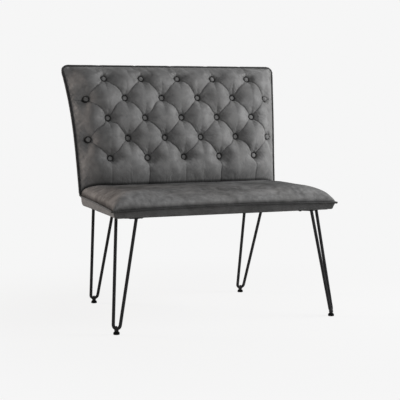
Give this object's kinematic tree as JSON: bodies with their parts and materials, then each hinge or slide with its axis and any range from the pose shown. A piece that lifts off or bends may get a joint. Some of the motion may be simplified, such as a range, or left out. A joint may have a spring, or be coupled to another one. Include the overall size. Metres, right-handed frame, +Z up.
{
  "type": "dining bench",
  "caption": "Upholstered dining bench with a diamond-tufted leaning back, welted seams, splayed hairpin legs and screw-adjusted levelling feet.",
  "frame": {"origin": "on the floor, under the middle of the bench's box", "axes": "+Z up, -Y out of the front of the seat, +X to the right seen from the front"},
  "size_m": [0.9212, 0.632, 0.962],
  "materials": {
    "leather_grey": "mid-grey buffed synthetic leather with lighter and darker mottling",
    "leather_dark": "darker grey synthetic leather",
    "foam": "polyurethane foam",
    "wadding": "polyester wadding",
    "dust_cloth": "black non-woven cloth",
    "plywood": "bare birch plywood",
    "black_steel": "black powder coat, satin",
    "zinc_steel": "zinc-plated steel",
    "pad_plastic": "black nylon",
    "twine": "waxed twine",
    "anchor_plastic": "natural nylon"
  },
  "bodies": {
    "frame": {"seat_board": "plywood", "back_board": "plywood", "bracket_left": "zinc_steel", "bracket_centre": "zinc_steel", "bracket_right": "zinc_steel", "bracket_screws": "zinc_steel", "seat_foam": "foam", "seat_cover": "leather_grey", "seat_lower_cover": "leather_dark", "dust_cover": "dust_cloth", "back_foam": "foam", "back_tufted_cover": "leather_grey", "back_wadding": "wadding", "back_rear_cover": "leather_dark", "welt": "leather_dark", "back_buttons": "leather_grey", "button_cords": "twine", "button_anchors": "anchor_plastic", "leg_front_left": "black_steel", "leg_front_right": "black_steel", "leg_rear_left": "black_steel", "leg_rear_right": "black_steel", "leg_plate_front_left": "black_steel", "leg_plate_front_right": "black_steel", "leg_plate_rear_left": "black_steel", "leg_plate_rear_right": "black_steel", "leg_bolts": "zinc_steel", "tee_nuts": "zinc_steel", "foot_boss_front_left": "black_steel", "foot_boss_front_right": "black_steel", "foot_boss_rear_left": "black_steel", "foot_boss_rear_right": "black_steel"},
    "pad_front_left": {"foot_pad_front_left": "pad_plastic"},
    "stem_front_left": {"foot_stem_front_left": "black_steel"},
    "pad_front_right": {"foot_pad_front_right": "pad_plastic"},
    "stem_front_right": {"foot_stem_front_right": "black_steel"},
    "pad_rear_left": {"foot_pad_rear_left": "pad_plastic"},
    "stem_rear_left": {"foot_stem_rear_left": "black_steel"},
    "pad_rear_right": {"foot_pad_rear_right": "pad_plastic"},
    "stem_rear_right": {"foot_stem_rear_right": "black_steel"}
  },
  "joints": [
    {"name": "front_left_height", "type": "slide", "parent": "frame", "child": "pad_front_left", "axis": [0, 0, -1], "range_m": [0, 0.006]},
    {"name": "front_left_turn", "type": "hinge", "parent": "pad_front_left", "child": "stem_front_left", "pos_m": [-0.433, -0.30053, 0.012], "axis": [0, 0, -1], "range_deg": [0, 2160]},
    {"name": "front_right_height", "type": "slide", "parent": "frame", "child": "pad_front_right", "axis": [0, 0, -1], "range_m": [0, 0.006]},
    {"name": "front_right_turn", "type": "hinge", "parent": "pad_front_right", "child": "stem_front_right", "pos_m": [0.433, -0.30053, 0.012], "axis": [0, 0, -1], "range_deg": [0, 2160]},
    {"name": "rear_left_height", "type": "slide", "parent": "frame", "child": "pad_rear_left", "axis": [0, 0, -1], "range_m": [0, 0.006]},
    {"name": "rear_left_turn", "type": "hinge", "parent": "pad_rear_left", "child": "stem_rear_left", "pos_m": [-0.328, 0.30447, 0.012], "axis": [0, 0, -1], "range_deg": [0, 2160]},
    {"name": "rear_right_height", "type": "slide", "parent": "frame", "child": "pad_rear_right", "axis": [0, 0, -1], "range_m": [0, 0.006]},
    {"name": "rear_right_turn", "type": "hinge", "parent": "pad_rear_right", "child": "stem_rear_right", "pos_m": [0.328, 0.30447, 0.012], "axis": [0, 0, -1], "range_deg": [0, 2160]}
  ],
  "couplings": [
    {"joint": "front_left_turn", "follows": "front_left_height", "rad_per_m": 6283.2},
    {"joint": "front_right_turn", "follows": "front_right_height", "rad_per_m": 6283.2},
    {"joint": "rear_left_turn", "follows": "rear_left_height", "rad_per_m": 6283.2},
    {"joint": "rear_right_turn", "follows": "rear_right_height", "rad_per_m": 6283.2}
  ]
}
